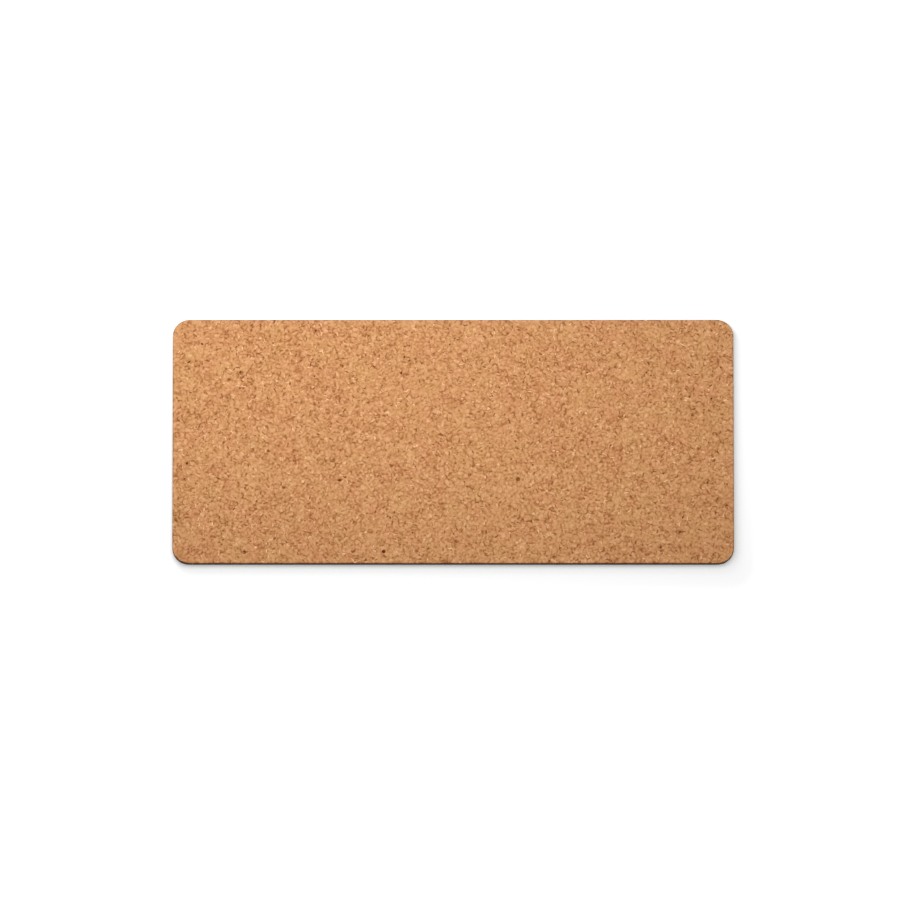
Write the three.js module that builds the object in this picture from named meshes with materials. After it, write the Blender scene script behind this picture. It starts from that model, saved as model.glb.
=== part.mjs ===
// Cork desk mat: an agglomerated cork sheet bonded to a dark rubber base and cut to one outline.
// Millimetres, +Z up. The origin is the middle of the underside, +X runs along the long side.
import * as THREE from "three";

// Outline, shared by every layer because the bonded sheet is cut in one go
const MAT_LENGTH = 700;
const MAT_DEPTH = 320;
const CORNER_RADIUS = 21;

// Layers, from the desk up
const BASE_THICKNESS = 5;
const FILM_THICKNESS = 0.3;
const CORK_THICKNESS = 1.5;

// Eased edges: the cork's top arris under the wrists, and the lower edge of the base
const CORK_EDGE_RADIUS = 0.6;
const BASE_EDGE_RADIUS = 0.4;

// Steps in each rounded corner of the outline, and in each eased edge
const CORNER_STEPS = 20;
const EDGE_STEPS = 5;

const QUARTER_TURN = Math.PI / 2;

// Heights of the faces where the layers meet
const baseTop = BASE_THICKNESS;
const filmTop = baseTop + FILM_THICKNESS;
const corkTop = filmTop + CORK_THICKNESS;

// The corners of the outline in turn, anticlockwise seen from above: the side in X and in Y
const corners = [
  [1, -1],
  [1, 1],
  [-1, 1],
  [-1, -1],
];

// The mat's outline, moved inwards by the inset all round
function outline(inset) {
  const radius = CORNER_RADIUS - inset;
  const centreX = MAT_LENGTH / 2 - CORNER_RADIUS;
  const centreY = MAT_DEPTH / 2 - CORNER_RADIUS;
  return corners.flatMap(([sideX, sideY], i) => {
    const from = (i - 1) * QUARTER_TURN;
    const to = from + QUARTER_TURN;
    const arc = new THREE.ArcCurve(sideX * centreX, sideY * centreY, radius, from, to);
    return arc.getPoints(CORNER_STEPS);
  });
}

// A layer as one closed solid: outlines at their heights, bottom first, between two flat faces
function layerGeometry(levels) {
  const rings = levels.map(({ inset }) => outline(inset));
  const count = rings[0].length;
  const positions = rings.flatMap((ring, i) => ring.flatMap(({ x, y }) => [x, y, levels[i].z]));

  const faces = [];
  for (let i = 0; i + 1 < rings.length; i++) {
    for (let j = 0; j < count; j++) {
      const here = i * count + j;
      const next = i * count + ((j + 1) % count);
      faces.push(here, next, next + count);
      faces.push(here, next + count, here + count);
    }
  }
  for (const [a, b, c] of THREE.ShapeUtils.triangulateShape(rings[0], [])) {
    faces.push(a, c, b);
  }
  const top = (rings.length - 1) * count;
  for (const [a, b, c] of THREE.ShapeUtils.triangulateShape(rings.at(-1), [])) {
    faces.push(top + a, top + b, top + c);
  }

  const geometry = new THREE.BufferGeometry();
  geometry.setAttribute("position", new THREE.Float32BufferAttribute(positions, 3));
  geometry.setIndex(faces);
  return geometry;
}

// A quarter-round edge between a wall and a flat face: side is 1 for an upper edge, -1 for a lower one
function easedEdge(faceZ, radius, side) {
  const levels = [];
  for (let step = 0; step <= EDGE_STEPS; step++) {
    const angle = (step / EDGE_STEPS) * QUARTER_TURN;
    const inset = radius * (1 - Math.cos(angle));
    const z = faceZ - side * radius * (1 - Math.sin(angle));
    levels.push({ inset, z });
  }
  return side > 0 ? levels : levels.reverse();
}

function layer(name, levels, look) {
  const material = new THREE.MeshStandardMaterial({ ...look, metalness: 0, flatShading: true });
  const mesh = new THREE.Mesh(layerGeometry(levels), material);
  mesh.name = name;
  return mesh;
}

// Non-slip base, which the mat rests on
const rubberBase = layer(
  "rubber_base",
  [...easedEdge(0, BASE_EDGE_RADIUS, -1), { inset: 0, z: baseTop }],
  { color: 0x1d1916, roughness: 0.85 },
);

// Adhesive film that holds the cork to the base
const bondFilm = layer(
  "bond_film",
  [
    { inset: 0, z: baseTop },
    { inset: 0, z: filmTop },
  ],
  { color: 0x6b4a2c, roughness: 0.6 },
);

// Cork work surface
const corkFaceSheet = layer(
  "cork_face_sheet",
  [{ inset: 0, z: filmTop }, ...easedEdge(corkTop, CORK_EDGE_RADIUS, 1)],
  { color: 0xcb9262, roughness: 0.8 },
);

const mat = new THREE.Group();
mat.add(rubberBase, bondFilm, corkFaceSheet);

export default mat;
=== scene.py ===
import math
from collections import namedtuple

import bmesh
import bpy
import numpy as np
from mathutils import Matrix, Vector, noise
from mathutils.geometry import delaunay_2d_cdt


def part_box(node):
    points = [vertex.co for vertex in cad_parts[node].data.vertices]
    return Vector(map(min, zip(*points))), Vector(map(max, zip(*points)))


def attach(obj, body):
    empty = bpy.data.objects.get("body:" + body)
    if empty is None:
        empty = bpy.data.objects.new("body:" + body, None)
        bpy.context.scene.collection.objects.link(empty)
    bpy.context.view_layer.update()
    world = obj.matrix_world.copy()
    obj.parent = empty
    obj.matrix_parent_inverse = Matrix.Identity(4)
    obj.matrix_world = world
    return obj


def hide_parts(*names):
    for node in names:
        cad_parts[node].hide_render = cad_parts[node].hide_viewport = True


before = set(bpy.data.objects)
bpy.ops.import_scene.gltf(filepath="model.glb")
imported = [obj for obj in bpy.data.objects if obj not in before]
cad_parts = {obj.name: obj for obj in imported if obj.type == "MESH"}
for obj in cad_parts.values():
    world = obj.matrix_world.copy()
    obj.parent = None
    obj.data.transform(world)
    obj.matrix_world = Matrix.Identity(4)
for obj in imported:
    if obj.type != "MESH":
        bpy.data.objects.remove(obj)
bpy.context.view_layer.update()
mm = 0.001  # the frame is in metres

# outline of the mat, read off the cork node, whose end walls stop where its corners start
corkLow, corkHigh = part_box("cork_face_sheet")
baseLow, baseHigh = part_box("rubber_base")
halfLength = corkHigh.x
halfDepth = corkHigh.y
hair = 0.01 * mm  # points this near the end are on its wall
corkPoints = [v.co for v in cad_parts["cork_face_sheet"].data.vertices]
cornerRadius = halfDepth - max(co.y for co in corkPoints if co.x > halfLength - hair)
print("mat", round(halfLength * 2, 4), "by", round(halfDepth * 2, 4), "corner", round(cornerRadius, 4))

# how granules and grip keep to that outline
edgeClear = 0.3  # part of its spacing that the middle of a cell keeps from the outline
mirrorDepth = 0.7  # part of the corner radius, the strip of cells that is mirrored in the outline
inLine = 1e-9  # square millimetres, for three sites too nearly in line for a circle
sameSite = 1e-5  # millimetres


# way out to the nearest point of the outline, and how far off that point is
def edgeFrom(x, y, inset):
    dx = abs(x) - halfLength + cornerRadius
    dy = abs(y) - halfDepth + cornerRadius
    if dx > 0 and dy > 0:  # in a round corner
        away = math.hypot(dx, dy)
        return math.copysign(dx / away, x), math.copysign(dy / away, y), cornerRadius - inset - away
    if halfLength - abs(x) < halfDepth - abs(y):
        return math.copysign(1, x), 0.0, halfLength - inset - abs(x)
    return 0.0, math.copysign(1, y), halfDepth - inset - abs(y)


# the knots, then random sites, large granules first and small ones in the gaps between
def granuleSites(rng, spec):
    plans = [(spec["knotGap"], [knot[:2]], "knot %d" % i) for i, knot in enumerate(spec["knots"])]
    for gap, tries, kind in spec["sizes"]:
        spots = rng.uniform(-1, 1, (tries, 2)) * (halfLength, halfDepth)
        plans.append((gap, spots.tolist(), kind))
    widest = max(gap for gap, _, _ in spec["sizes"])
    bins = {}
    sites = []
    for gap, spots, kind in plans:
        for x, y in spots:
            if edgeFrom(x, y, spec["edge"])[2] < gap * edgeClear:
                continue
            col = math.floor(x / widest)
            row = math.floor(y / widest)
            tiles = [(col + i, row + j) for i in (-1, 0, 1) for j in (-1, 0, 1)]
            near = [site for tile in tiles for site in bins.get(tile, ())]
            if all((x - sx) ** 2 + (y - sy) ** 2 > ((gap + other) / 2) ** 2 for sx, sy, other in near):
                bins.setdefault((col, row), []).append((x, y, gap))
                sites.append((x, y, kind))
    return sites


# staggered rows of sites, for a moulded honeycomb
def gripSites(spec):
    pitch = spec["pitch"]
    rowStep = pitch * math.sqrt(3) / 2
    rows = int(halfDepth / rowStep)
    cols = int(halfLength / pitch) + 1
    sites = []
    for row in range(-rows, rows + 1):
        for col in range(-cols, cols + 1):
            x = (col + 0.5 * (row % 2)) * pitch
            y = row * rowStep
            if edgeFrom(x, y, spec["edge"])[2] > pitch * edgeClear:
                sites.append((x, y, "pad"))
    return sites


# middle of the circle through three sites, or nothing where they lie in line
def circleMiddle(a, b, c):
    ab = b - a
    ac = c - a
    cross = 2 * (ab.x * ac.y - ab.y * ac.x)
    if abs(cross) < inLine:
        return None
    x = a.x + (ac.y * ab.length_squared - ab.y * ac.length_squared) / cross
    y = a.y + (ab.x * ac.length_squared - ac.x * ab.length_squared) / cross
    return x * mm, y * mm


# cells round the sites as flat faces, cut off square at the outline
def cellMesh(sites, spec):
    mirrored = []
    for x, y, kind in sites:
        outX, outY, reach = edgeFrom(x, y, spec["edge"])
        if reach < cornerRadius * mirrorDepth:
            mirrored.append((x + 2 * reach * outX, y + 2 * reach * outY, kind))
    spots = [Vector((x / mm, y / mm)) for x, y, _ in sites + mirrored]
    coords, _, triangles, origins, _, _ = delaunay_2d_cdt(spots, [], [], 0, sameSite)
    siteOf = [origin[0] for origin in origins]
    cells = bmesh.new()
    kinds = cells.faces.layers.string.new("kind")
    corners = {}
    for triangle in triangles:
        middle = circleMiddle(*[coords[i] for i in triangle])
        members = [siteOf[i] for i in triangle if siteOf[i] < len(sites)]
        if not middle or not members:
            continue
        x, y = middle
        outX, outY, reach = edgeFrom(x, y, spec["edge"])
        if len(members) < 3 or reach < spec["mergeGap"]:  # this corner lies on the outline
            x += outX * reach
            y += outY * reach
        corner = cells.verts.new((x, y, 0))
        for site in members:
            corners.setdefault(site, []).append(corner)
    for site, around in corners.items():
        x, y, kind = sites[site]
        around.sort(key=lambda v: math.atan2(v.co.y - y, v.co.x - x))
        if len(around) > 2:
            cells.faces.new(around)[kinds] = kind.encode()
    bmesh.ops.remove_doubles(cells, verts=cells.verts, dist=spec["mergeGap"])
    return cells


# edges on the round corners follow the arc, and long edges inside bend to one side
def bendEdges(cells, inset, longest=math.inf, bend=0.0, rng=None):
    for edge in list(cells.edges):
        start, end = edge.verts
        middle = (start.co + end.co) / 2
        length = edge.calc_length()
        if len(edge.link_faces) == 1:
            outX, outY, reach = edgeFrom(middle.x, middle.y, inset)
            if outX and outY:
                middle += Vector((outX, outY, 0)) * reach
                bmesh.utils.edge_split(edge, start, 0.5)[1].co = middle
        elif length > longest:
            along = (end.co - start.co).normalized()
            aside = Vector((-along.y, along.x, 0)) * length * rng.uniform(-bend, bend)
            bmesh.utils.edge_split(edge, start, 0.5)[1].co = middle + aside
    cells.verts.index_update()
    cells.faces.index_update()


# the rim of the cells as one ring, anticlockwise, with the cell that owns each stretch
def rimRing(cells):
    nextOn = {}
    for face in cells.faces:
        for loop in face.loops:
            if len(loop.edge.link_faces) == 1:
                nextOn[loop.vert.index] = (loop.link_loop_next.vert.index, face.index)
    start = min(nextOn)
    ring = [start]
    owners = []
    while True:
        following, owner = nextOn[ring[-1]]
        owners.append(owner)
        if following == start:
            return ring, owners
        ring.append(following)


# finish of a face: its tone, the force of its streaks, its rim line and the turn of its grain
Finish = namedtuple("Finish", "tone streaks line turn")
middleTone = 0.5
noLine = 0.5  # darker below, paler above


# collects points and faces, with the finish of each face beside it
class SheetMaker:
    def __init__(self):
        self.points = []
        self.domeShadeWeights = []
        self.faces = []
        self.finishes = []

    # crown is the weight of the painted dome shade at the point: 1 at a granule's crown, 0 on its rim
    def point(self, x, y, z, crown=0.0):
        self.points.append((x, y, z))
        self.domeShadeWeights.append(crown)
        return len(self.points) - 1

    # a new point, some way from point i towards the middle of its cell
    def pointInside(self, i, middle, distance, z):
        x, y, _ = self.points[i]
        step = distance / math.hypot(middle.x - x, middle.y - y)
        return self.point(x + (middle.x - x) * step, y + (middle.y - y) * step, z)

    def face(self, corners, finish):
        self.faces.append(corners)
        self.finishes.append(finish)

    # eased edge, torn wall and flat back below a finished front
    def close(self, ring, ringFinishes, top, bottom, spec):
        edge = spec["edge"]
        steps = spec["edgeSteps"]
        rows = spec["wallRows"]
        turns = [math.pi / 2 * k / steps for k in range(1, steps + 1)]
        levels = [(edge * math.sin(turn), top - edge * (1 - math.cos(turn))) for turn in turns]
        levels += [(edge, top - edge + (bottom - top + edge) * k / rows) for k in range(1, rows + 1)]
        outs = [edgeFrom(self.points[i][0], self.points[i][1], edge) for i in ring]
        above = ring
        for level, (reach, z) in enumerate(levels):
            below = []
            for i, (outX, outY, _) in zip(ring, outs):
                x, y, _ = self.points[i]
                torn = 0.0
                if steps <= level < len(levels) - 1:
                    torn = spec["rough"] * abs(noise.noise(Vector((x, y, z)) / spec["tearSize"]))
                below.append(self.point(x + outX * (reach - torn), y + outY * (reach - torn), z))
            for k in range(len(ring)):
                n = (k + 1) % len(ring)
                self.face([above[n], above[k], below[k], below[n]], ringFinishes[k])
            above = below
        self.face(above[::-1], ringFinishes[0])

    # turnOver, the sum of the heights of front and back, swaps the two
    def finished(self, name, turnOver=None):
        points = self.points
        faces = self.faces
        if turnOver is not None:
            points = [(x, y, turnOver - z) for x, y, z in points]
            faces = [corners[::-1] for corners in faces]
        mesh = bpy.data.meshes.new(name)
        mesh.from_pydata(points, [], faces)
        looks = [finish[:3] + (1.0,) for finish in self.finishes]
        granule = mesh.attributes.new("granule", "FLOAT_COLOR", "FACE")
        granule.data.foreach_set("color", np.array(looks, np.float32).ravel())
        # painted dome shade: the weight that lightens each granule's middle and darkens its rim
        crown = mesh.attributes.new("crown", "FLOAT", "POINT")
        crown.data.foreach_set("value", np.array(self.domeShadeWeights, np.float32))
        turn = mesh.attributes.new("grainTurn", "FLOAT", "FACE")
        turn.data.foreach_set("value", np.array([finish.turn for finish in self.finishes], np.float32))
        smooth = np.ones(len(faces), bool)
        smooth[-1] = False  # the flat back
        mesh.polygons.foreach_set("use_smooth", smooth)
        piece = bpy.data.objects.new(name, mesh)
        bpy.context.scene.collection.objects.link(piece)
        mesh.update()
        print(name, len(points), "points", sum(len(f) - 2 for f in faces), "triangles")
        return piece


# cork sheet: pressed granules with frayed pale rims, dark gaps and bits of bark; its cut walls carry
# painted shade
corkSheet = {
    "seed": 11,
    "sizes": [  # spacing, tries and kind, from large to small
        (7 * mm, 2200, "granule"),
        (4.6 * mm, 9000, "granule"),
        (2.9 * mm, 30000, "granule"),
        (1.6 * mm, 2200, "chip"),
    ],
    "knots": [  # the bits of bark that catch the eye: place, part of the cell that they take, tone
        (-87 * mm, -145 * mm, 0.74, 0.0),
        (81 * mm, -49 * mm, 0.85, 0.14),
        (-141 * mm, -51 * mm, 0.58, 0.06),
        (-260 * mm, -145 * mm, 0.65, 0.06),
        (-265 * mm, 91 * mm, 0.55, 0.08),
        (-168 * mm, 8 * mm, 0.5, 0.05),
        (87 * mm, 77 * mm, 0.6, 0.18),
        (-65 * mm, 90 * mm, 0.48, 0.06),
    ],
    "knotGap": 5 * mm,
    "mergeGap": 0.4 * mm,  # corners of cells nearer than this are one
    "longest": 2.4 * mm,  # rims longer than this are bent
    "bend": 0.22,
    "crown": 0.05 * mm,  # how far the middles of granules lie below the top
    "sink": (0.05 * mm, 0.16 * mm),  # how far their rims do
    "gapSink": 0.14 * mm,  # and how much more in a dark gap
    "toneSpread": 0.034,
    "barkShare": 0.4,  # of the chips
    "barkTone": (0.05, 0.32),
    "paleShare": 0.2,
    "paleTone": (0.75, 1.0),
    "chipSize": (0.32, 0.6),  # part of the cell that the chip takes
    "chipDomeShade": 0.4,  # weight of the painted dome shade on a chip, where 1 is that of a granule
    "rimWidth": (0.7 * mm, 1.6 * mm),
    "rimReach": 0.45,  # part of the way to the middle that a rim takes at most
    "rimLength": (2 * mm, 7 * mm),
    "darkRims": 0.5,  # share of the granules
    "darkForce": 0.37,
    "paleRims": 0.5,
    "paleForce": 0.44,
    "edge": 0.6 * mm,
    "edgeSteps": 4,
    "wallRows": 5,
    # painted shade: the cut walls all round are given a darker tone than their granules
    "paintedWallShade": -0.24,
    "wallStreaks": 0.1,
    "rough": 0.12 * mm,
    "tearSize": 1.7 * mm,
}


# stretches of a granule's rim for a dark gap and a pale frayed edge, with the line of each
def pickRims(sheet, loop, rng, spec):
    count = len(loop)
    at = int(rng.integers(count))
    end = at + count
    rims = []
    for share, force in ((spec["darkRims"], -spec["darkForce"]), (spec["paleRims"], spec["paleForce"])):
        if rng.random() > share or end - at < 2:
            continue
        want = rng.uniform(*spec["rimLength"])
        stop = at
        run = 0.0
        while run < want and stop < end - 1:
            here = sheet.points[loop[stop % count]]
            there = sheet.points[loop[(stop + 1) % count]]
            run += math.hypot(there[0] - here[0], there[1] - here[1])
            stop += 1
        line = np.clip(noLine + 0.5 * force * rng.exponential(), 0, 1)
        rims.append((at, stop, float(line)))
        at = stop + int(rng.integers(0, 2))
    return rims


# a strip of faces along one stretch of the rim, which moves the inner outline of the granule in
def layRim(sheet, loop, inner, at, stop, width, finish, middle, spec):
    count = len(loop)
    rim = [loop[k % count] for k in range(at, stop + 1)]
    spine = []
    for k in range(1, len(rim) - 1):
        x, y, z = sheet.points[rim[k]]
        reach = math.hypot(middle.x - x, middle.y - y) * spec["rimReach"]
        spine.append(sheet.pointInside(rim[k], middle, min(width, reach), z))
        inner[(at + k) % count] = spine[-1]
        if finish.line < noLine and z != corkHigh.z:
            sheet.points[rim[k]] = (x, y, z - spec["gapSink"])
    if not spine:
        return
    sheet.face([rim[0], rim[1], spine[0]], finish)
    for k in range(1, len(spine)):
        sheet.face([rim[k], rim[k + 1], spine[k], spine[k - 1]], finish)
    sheet.face([rim[-2], rim[-1], spine[-1]], finish)


# one granule: a low crown inside its rims, with a chip of bark or pale cork at its heart in some
def layGranule(sheet, cell, finish, heart, size, rng, spec):
    loop = [v.index for v in cell.verts]
    middle = cell.calc_center_median()
    count = len(loop)
    inner = list(loop)
    for at, stop, line in pickRims(sheet, loop, rng, spec):
        width = rng.uniform(*spec["rimWidth"])
        layRim(sheet, loop, inner, at, stop, width, finish._replace(line=line), middle, spec)
    # painted dome shade, weaker on a chip
    paintedDomeShade = spec["chipDomeShade"] if heart else 1.0
    if heart:
        ring = []
        for x, y, _ in [sheet.points[i] for i in inner]:
            spot = middle + (Vector((x, y, 0)) - middle) * size
            ring.append(sheet.point(spot.x, spot.y, corkHigh.z - spec["crown"], paintedDomeShade))
        for k in range(count):
            n = (k + 1) % count
            sheet.face([inner[k], inner[n], ring[n], ring[k]], finish)
        inner = ring
    crown = sheet.point(middle.x, middle.y, corkHigh.z - rng.uniform(0, spec["crown"]), paintedDomeShade)
    for k in range(count):
        sheet.face([inner[k], inner[(k + 1) % count], crown], heart or finish)


def buildCork(spec):
    rng = np.random.default_rng(spec["seed"])
    cells = cellMesh(granuleSites(rng, spec), spec)
    bendEdges(cells, spec["edge"], spec["longest"], spec["bend"], rng)
    sheet = SheetMaker()
    top = corkHigh.z
    for v in cells.verts:
        sheet.point(v.co.x, v.co.y, top if v.is_boundary else top - rng.uniform(*spec["sink"]))
    finishes = []
    barkCount = 0
    kinds = cells.faces.layers.string["kind"]
    for cell in cells.faces:
        tone = middleTone + rng.normal(0, spec["toneSpread"])
        finish = Finish(tone, rng.random(), noLine, rng.uniform(0, math.pi))
        finishes.append(finish)
        kind = cell[kinds].decode()
        pick = rng.random()
        size = rng.uniform(*spec["chipSize"])
        heart = None
        if kind.startswith("knot"):
            size, tone = spec["knots"][int(kind.split()[1])][2:]
            heart = finish._replace(tone=tone)
        elif kind == "chip" and pick < spec["barkShare"]:
            heart = finish._replace(tone=rng.uniform(*spec["barkTone"]))
            barkCount += 1
        elif kind == "chip" and pick > 1 - spec["paleShare"]:
            heart = finish._replace(tone=rng.uniform(*spec["paleTone"]))
        layGranule(sheet, cell, finish, heart, size, rng, spec)
    print("cork granules", len(finishes), "with chips of bark", barkCount)
    ring, owners = rimRing(cells)
    cells.free()
    walls = []
    # the walls take their granule's tone, darkened by painted shade, with calmer streaks
    for cut in [finishes[i] for i in owners]:
        walls.append(cut._replace(tone=cut.tone + spec["paintedWallShade"], streaks=spec["wallStreaks"]))
    sheet.close(ring, walls, top, corkLow.z, spec)
    return sheet.finished("cork_sheet")


# rubber base: moulded honeycomb grip on the underside
rubberBase = {
    "pitch": 7.5 * mm,
    "mergeGap": 0.3 * mm,
    "groove": 0.35 * mm,
    "grooveSide": 0.55 * mm,
    "edge": 0.4 * mm,
    "edgeSteps": 4,
    "wallRows": 4,
    "rough": 0.03 * mm,
    "tearSize": 1.7 * mm,
}


# the base is made with its grip upwards and turned over at the end
def buildBase(spec):
    cells = cellMesh(gripSites(spec), spec)
    bendEdges(cells, spec["edge"])
    sheet = SheetMaker()
    top = baseHigh.z
    plain = Finish(middleTone, 0.5, noLine, 0.0)
    for v in cells.verts:
        sheet.point(v.co.x, v.co.y, top if v.is_boundary else top - spec["groove"])
    for cell in cells.faces:
        middle = cell.calc_center_median()
        loop = [v.index for v in cell.verts]
        pad = []
        for i in loop:
            onRim = sheet.points[i][2] == top
            pad.append(i if onRim else sheet.pointInside(i, middle, spec["grooveSide"], top))
        for k in range(len(loop)):
            n = (k + 1) % len(loop)
            side = list(dict.fromkeys([loop[k], loop[n], pad[n], pad[k]]))  # on the rim, loop and pad meet
            if len(side) > 2:
                sheet.face(side, plain)
        sheet.face(pad, plain)
    ring, _ = rimRing(cells)
    cells.free()
    sheet.close(ring, [plain] * len(ring), top, baseLow.z, spec)
    return sheet.finished("rubber_base_sheet", baseLow.z + baseHigh.z)


# fills the sockets of a node, by link or by value
def fill(tree, node, inputs):
    for key, value in inputs.items():
        if isinstance(value, bpy.types.NodeSocket):
            tree.links.new(value, node.inputs[key])
        else:
            node.inputs[key].default_value = value


def place(tree, kind, inputs=None, **settings):
    node = tree.nodes.new(kind)
    for key, value in settings.items():
        setattr(node, key, value)
    fill(tree, node, inputs or {})
    return node


def calc(tree, operation, *values, clamp=False):
    inputs = dict(enumerate(values))
    return place(tree, "ShaderNodeMath", inputs, operation=operation, use_clamp=clamp).outputs[0]


def vectorCalc(tree, operation, *values):
    return place(tree, "ShaderNodeVectorMath", dict(enumerate(values)), operation=operation).outputs


def remap(tree, value, fromRange=(0.0, 1.0), toRange=(0.0, 1.0)):
    limits = zip(("From Min", "From Max", "To Min", "To Max"), (*fromRange, *toRange))
    return place(tree, "ShaderNodeMapRange", {"Value": value, **dict(limits)}).outputs["Result"]


def blendColours(tree, factor, a, b, mode="MIX"):
    inputs = {"Factor": factor, 6: a, 7: b}  # 6 and 7 are the sockets for colours
    return place(tree, "ShaderNodeMix", inputs, data_type="RGBA", blend_type=mode).outputs[2]


# a colour as it is seen on a screen, made linear
def colour(red, green, blue):
    def linear(c):
        c /= 255
        return c / 12.92 if c <= 0.04045 else ((c + 0.055) / 1.055) ** 2.4
    return linear(red), linear(green), linear(blue), 1.0


# fine grain that cork, rubber and adhesive share, each at its own scale
def makeGrainGroup(poreFloor=0.05):
    group = bpy.data.node_groups.new("fineGrain", "ShaderNodeTree")
    for name in ("Scale", "Detail", "Softness"):
        group.interface.new_socket(name, in_out="INPUT", socket_type="NodeSocketFloat")
    for name in ("Grain", "Pores"):
        group.interface.new_socket(name, in_out="OUTPUT", socket_type="NodeSocketFloat")
    given = place(group, "NodeGroupInput").outputs
    spot = place(group, "ShaderNodeTexCoord").outputs["Object"]
    pattern = {"Vector": spot, "Scale": given["Scale"]}
    cloud = place(group, "ShaderNodeTexNoise", {**pattern, "Detail": given["Detail"]})
    pits = place(group, "ShaderNodeTexVoronoi", pattern)
    pores = remap(group, pits.outputs["Distance"], (poreFloor, given["Softness"]))
    place(group, "NodeGroupOutput", {"Grain": cloud.outputs["Fac"], "Pores": pores})
    return group


def grain(tree, scale, look):
    inputs = {"Scale": scale, "Detail": look["grainDetail"], "Softness": look["poreSoftness"]}
    return place(tree, "ShaderNodeGroup", inputs, node_tree=grainGroup).outputs


def newMaterial(name):
    material = bpy.data.materials.new(name)
    material.use_nodes = True
    tree = material.node_tree
    return material, tree, tree.nodes["Principled BSDF"]


def bumps(tree, height, look):
    inputs = {"Height": height, "Strength": look["bump"], "Distance": look["bumpDepth"]}
    return place(tree, "ShaderNodeBump", inputs).outputs["Normal"]


corkFinish = {
    "tones": [
        (0.0, (98, 40, 3)),
        (0.25, (160, 102, 54)),
        (0.5, (205, 147, 97)),
        (0.75, (224, 170, 123)),
        (1.0, (246, 196, 152)),
    ],
    "gap": (112, 52, 8),
    "fray": (248, 197, 149),
    "red": (255, 242, 250),  # tints of the patches, from one to the other
    "ochre": (247, 255, 238),
    # painted dome shade: granules lighter at their crowns and darker at their rims, as if lit from above
    "paintedDomeShade": 0.14,
    "paintedDomeMiddle": 0.4,  # the painted dome shade lightens the tone above this weight and darkens it below
    "streakLong": 140.0,  # per metre along the grain of a granule
    "streakAcross": 390.0,
    "streakDetail": 0.5,
    "streakBend": 0.4,
    "streakTone": (0.2, 1.05),  # from the calmest granule to the most streaked
    "patchScale": 38.0,
    "patchDetail": 3.0,
    "patchTone": 0.12,
    "grainScale": 370.0,
    "grainDetail": 0.5,
    "grainTone": 0.46,
    "poreSoftness": 0.4,
    "roughness": (0.92, 0.7),  # from dark to pale
    "specular": 0.25,
    "bump": 0.35,
    "bumpDepth": 0.06 * mm,
}


# a tone with a pattern added to it, to both sides of the middle of that pattern
def addPattern(tree, tone, pattern, force, middle=0.5):
    return calc(tree, "MULTIPLY_ADD", calc(tree, "SUBTRACT", pattern, middle), force, tone)


# streaks along the grain of each granule
def corkStreaks(tree, spot, look):
    turn = place(tree, "ShaderNodeAttribute", attribute_name="grainTurn").outputs["Fac"]
    turned = place(tree, "ShaderNodeVectorRotate", {"Vector": spot, "Angle": turn}, rotation_type="Z_AXIS")
    scales = (look["streakLong"], look["streakAcross"], look["streakAcross"])
    drawn = vectorCalc(tree, "MULTIPLY", turned.outputs["Vector"], scales)["Vector"]
    inputs = {"Vector": drawn, "Scale": 1.0, "Detail": look["streakDetail"]}
    inputs["Distortion"] = look["streakBend"]
    return place(tree, "ShaderNodeTexNoise", inputs).outputs["Fac"]


def corkRamp(tree, tone, look):
    ramp = place(tree, "ShaderNodeValToRGB", {"Fac": tone})
    stops = ramp.color_ramp.elements
    while len(stops) < len(look["tones"]):
        stops.new(0.5)
    for stop, (position, shade) in zip(stops, look["tones"]):
        stop.position = position
        stop.color = colour(*shade)
    return ramp.outputs["Color"]


def makeCork(look):
    material, tree, shader = newMaterial("agglomerated_cork")
    spot = place(tree, "ShaderNodeTexCoord").outputs["Object"]
    granule = place(tree, "ShaderNodeAttribute", attribute_name="granule").outputs["Color"]
    tone, streaks, line = place(tree, "ShaderNodeSeparateColor", {"Color": granule}).outputs
    crown = place(tree, "ShaderNodeAttribute", attribute_name="crown").outputs["Fac"]
    streak = corkStreaks(tree, spot, look)
    inputs = {"Vector": spot, "Scale": look["patchScale"], "Detail": look["patchDetail"]}
    patch = place(tree, "ShaderNodeTexNoise", inputs).outputs["Fac"]
    fine = grain(tree, look["grainScale"], look)

    tone = addPattern(tree, tone, streak, remap(tree, streaks, toRange=look["streakTone"]))
    tone = addPattern(tree, tone, patch, look["patchTone"])
    tone = addPattern(tree, tone, fine["Grain"], look["grainTone"])
    # painted dome shade, lighter at each crown and darker towards the rims
    tone = addPattern(tree, tone, crown, look["paintedDomeShade"], look["paintedDomeMiddle"])
    hue = blendColours(tree, patch, colour(*look["red"]), colour(*look["ochre"]))
    shade = blendColours(tree, 1.0, corkRamp(tree, tone, look), hue, "MULTIPLY")
    shade = blendColours(tree, remap(tree, line, (noLine, 0.0)), shade, colour(*look["gap"]))
    shade = blendColours(tree, remap(tree, line, (noLine, 1.0)), shade, colour(*look["fray"]))
    fill(tree, shader, {
        "Base Color": shade,
        "Roughness": remap(tree, tone, toRange=look["roughness"]),
        "Normal": bumps(tree, calc(tree, "ADD", streak, fine["Pores"]), look),
        "Specular IOR Level": look["specular"],
    })
    return material


rubberFinish = {
    "low": (22, 17, 13),
    "high": (40, 32, 25),
    "grainScale": 1400.0,
    "grainDetail": 3.0,
    "poreSoftness": 0.5,
    "cloudSize": 60.0,  # times the size of the grain
    "cloudForce": 2.2,
    "roughness": (0.72, 0.95),
    "specular": 0.35,
    "bump": 0.3,
    "bumpDepth": 0.04 * mm,
}


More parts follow.
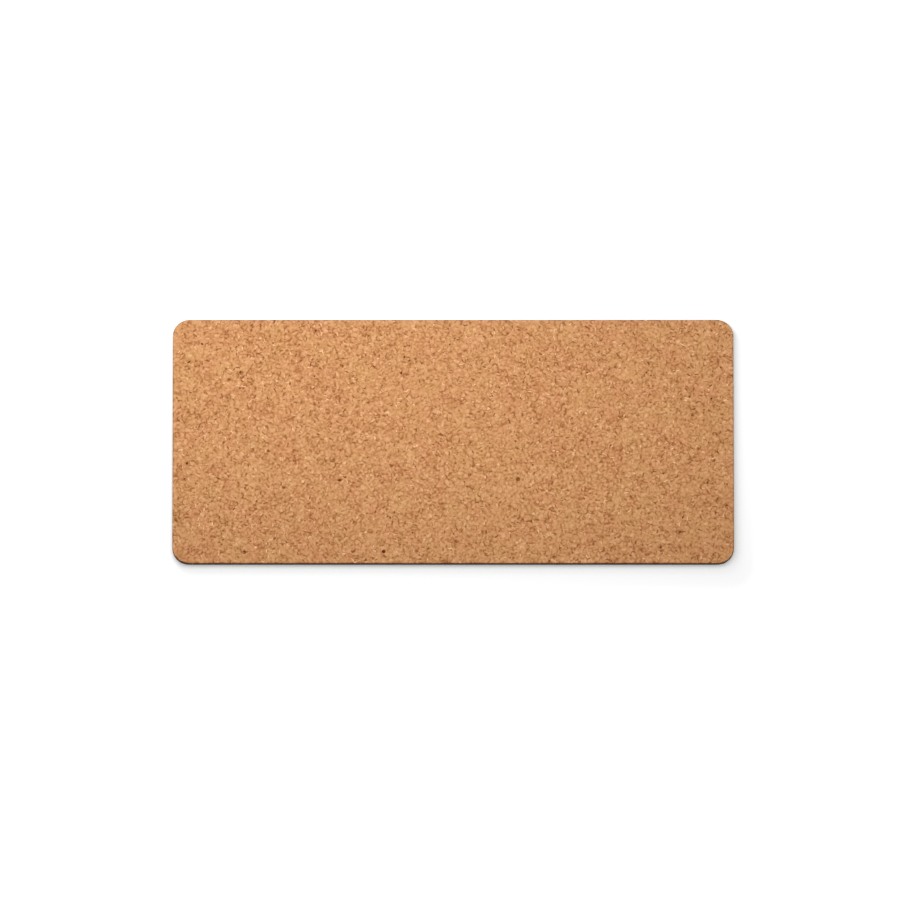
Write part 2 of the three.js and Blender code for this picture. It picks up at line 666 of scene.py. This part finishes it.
def makeRubber(look):
    material, tree, shader = newMaterial("base_rubber")
    fine = grain(tree, look["grainScale"], look)
    wide = grain(tree, look["grainScale"] / look["cloudSize"], look)
    mixed = calc(tree, "MULTIPLY", fine["Grain"], wide["Grain"])
    mixed = calc(tree, "MULTIPLY", mixed, look["cloudForce"], clamp=True)
    fill(tree, shader, {
        "Base Color": blendColours(tree, mixed, colour(*look["low"]), colour(*look["high"])),
        "Roughness": remap(tree, fine["Grain"], toRange=look["roughness"]),
        "Normal": bumps(tree, fine["Pores"], look),
        "Specular IOR Level": look["specular"],
    })
    return material


filmFinish = {
    "low": (84, 56, 32),
    "high": (132, 96, 60),
    "grainScale": 500.0,
    "grainDetail": 3.0,
    "poreSoftness": 0.5,
    "roughness": (0.45, 0.7),
}


def makeFilm(look):
    material, tree, shader = newMaterial("bond_adhesive")
    fine = grain(tree, look["grainScale"], look)
    fill(tree, shader, {
        "Base Color": blendColours(tree, fine["Grain"], colour(*look["low"]), colour(*look["high"])),
        "Roughness": remap(tree, fine["Grain"], toRange=look["roughness"]),
    })
    return material


grainGroup = makeGrainGroup()
cork = buildCork(corkSheet)
cork.data.materials.append(makeCork(corkFinish))
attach(cork, "root")
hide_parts("cork_face_sheet")

base = buildBase(rubberBase)
base.data.materials.append(makeRubber(rubberFinish))
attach(base, "root")
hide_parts("rubber_base")

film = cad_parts["bond_film"]
film.material_slots[0].link = "OBJECT"
film.material_slots[0].material = makeFilm(filmFinish)
print("pieces done")

# floor: white paper that keeps the mat's shadow
studioFloor = {
    "size": 120.0,
    "drop": 0.05 * mm,  # below the underside of the mat, so that the two faces don't share a plane
    "albedo": 0.93,
    "shadowSide": (0.015, -0.02, 0),  # the way the mat's outline is moved, to hold its shadow
    "liftFrom": 0.005,  # away from that outline
    "liftTo": 0.085,
    "liftNear": 0.155,
    "liftSpread": (0.25, 0.9, 0),  # per square metre, for the falloff of the lamps to the sides
    "liftFar": 0.7,
}


# glow of the paper, least round the mat, so that the falloff of the lamps leaves no grey corner
def floorLift(tree, spec):
    spot = place(tree, "ShaderNodeTexCoord").outputs["Object"]
    moved = vectorCalc(tree, "SUBTRACT", spot, spec["shadowSide"])["Vector"]
    side = vectorCalc(tree, "ABSOLUTE", moved)["Vector"]
    core = (halfLength - cornerRadius, halfDepth - cornerRadius, 0)
    past = vectorCalc(tree, "SUBTRACT", side, core)["Vector"]
    past = vectorCalc(tree, "MAXIMUM", past, (0, 0, 0))["Vector"]
    away = vectorCalc(tree, "LENGTH", past)["Value"]
    square = vectorCalc(tree, "MULTIPLY", spot, spot)["Vector"]
    spread = vectorCalc(tree, "DOT_PRODUCT", square, spec["liftSpread"])["Value"]
    nearLift = calc(tree, "ADD", spread, spec["liftNear"])
    between = (cornerRadius + spec["liftFrom"], cornerRadius + spec["liftTo"])
    return remap(tree, away, between, (nearLift, spec["liftFar"]))


def buildFloor(spec):
    mesh = bpy.data.meshes.new("floor")
    r = spec["size"] / 2
    z = -spec["drop"]
    mesh.from_pydata([(-r, -r, z), (r, -r, z), (r, r, z), (-r, r, z)], [], [(0, 1, 2, 3)])
    floor = bpy.data.objects.new("floor", mesh)
    bpy.context.scene.collection.objects.link(floor)
    material, tree, shader = newMaterial("floor_paper")
    path = place(tree, "ShaderNodeLightPath").outputs
    seen = calc(tree, "ADD", path["Is Camera Ray"], path["Is Glossy Ray"])
    seen = calc(tree, "ADD", seen, path["Is Transmission Ray"], clamp=True)
    fill(tree, shader, {
        "Base Color": (spec["albedo"],) * 3 + (1,),
        "Roughness": 1.0,
        "Specular IOR Level": 0.0,
        "Emission Color": (1, 1, 1, 1),
        "Emission Strength": calc(tree, "MULTIPLY", seen, floorLift(tree, spec)),
    })
    mesh.materials.append(material)


buildFloor(studioFloor)

# light: a low soft panel over the mat, a strip behind it on the left, and an even room
studioLight = {
    "room": 0.437,
    "panel": {
        "at": (-0.06, 0.1, 0.47),
        "aim": (-0.06, 0.1, 0.0),
        "size": (1.2, 0.45),
        "power": 2.38,
    },
    "strip": {
        "at": (-0.65, 1.02, 0.51),
        "aim": (-0.65, 0.0, 0.0),
        "size": (1.0, 0.53),
        "power": 7.3,
    },
}


# lamps and camera look down their own -Z
def aim(thing, away):
    thing.rotation_mode = "QUATERNION"
    thing.rotation_quaternion = Vector(away).to_track_quat("Z", "Y")


def buildLight(spec):
    for name in ("panel", "strip"):
        plan = spec[name]
        lamp = bpy.data.objects.new(name, bpy.data.lights.new(name, "AREA"))
        lamp.data.shape = "RECTANGLE"
        lamp.data.size, lamp.data.size_y = plan["size"]
        lamp.data.energy = plan["power"]
        lamp.location = plan["at"]
        lamp.visible_camera = False
        aim(lamp, Vector(plan["at"]) - Vector(plan["aim"]))
        bpy.context.scene.collection.objects.link(lamp)
    world = bpy.data.worlds.new("room")
    world.use_nodes = True
    tree = world.node_tree
    fill(tree, tree.nodes["Background"], {"Color": (1, 1, 1, 1), "Strength": spec["room"]})
    bpy.context.scene.world = world


buildLight(studioLight)

# camera: a long lens a little off straight down, on the near side
photoCamera = {
    "tilt": math.radians(18.4),
    "distance": 35.0,
    "farClip": 140.0,
    "pixelsPerMetre": 801.6,
    "matCentre": (453.15, 441.28),  # pixel of the middle of the cork face
    "frame": 900,
    "sensor": 36.0,
}


def buildCamera(spec):
    lens = spec["pixelsPerMetre"] * spec["distance"] * spec["sensor"] / spec["frame"]
    camera = bpy.data.objects.new("camera", bpy.data.cameras.new("camera"))
    camera.data.lens = lens
    camera.data.sensor_width = spec["sensor"]
    camera.data.clip_end = spec["farClip"]
    right = (spec["matCentre"][0] - spec["frame"] / 2) / spec["pixelsPerMetre"]
    down = (spec["matCentre"][1] - spec["frame"] / 2) / spec["pixelsPerMetre"] / math.cos(spec["tilt"])
    target = Vector((-right, down, corkHigh.z))
    away = Vector((0, -math.sin(spec["tilt"]), math.cos(spec["tilt"])))
    camera.location = target + away * spec["distance"]
    aim(camera, away)
    bpy.context.scene.collection.objects.link(camera)
    bpy.context.scene.camera = camera


buildCamera(photoCamera)
bpy.context.scene.view_settings.view_transform = "Standard"
print("stage done")
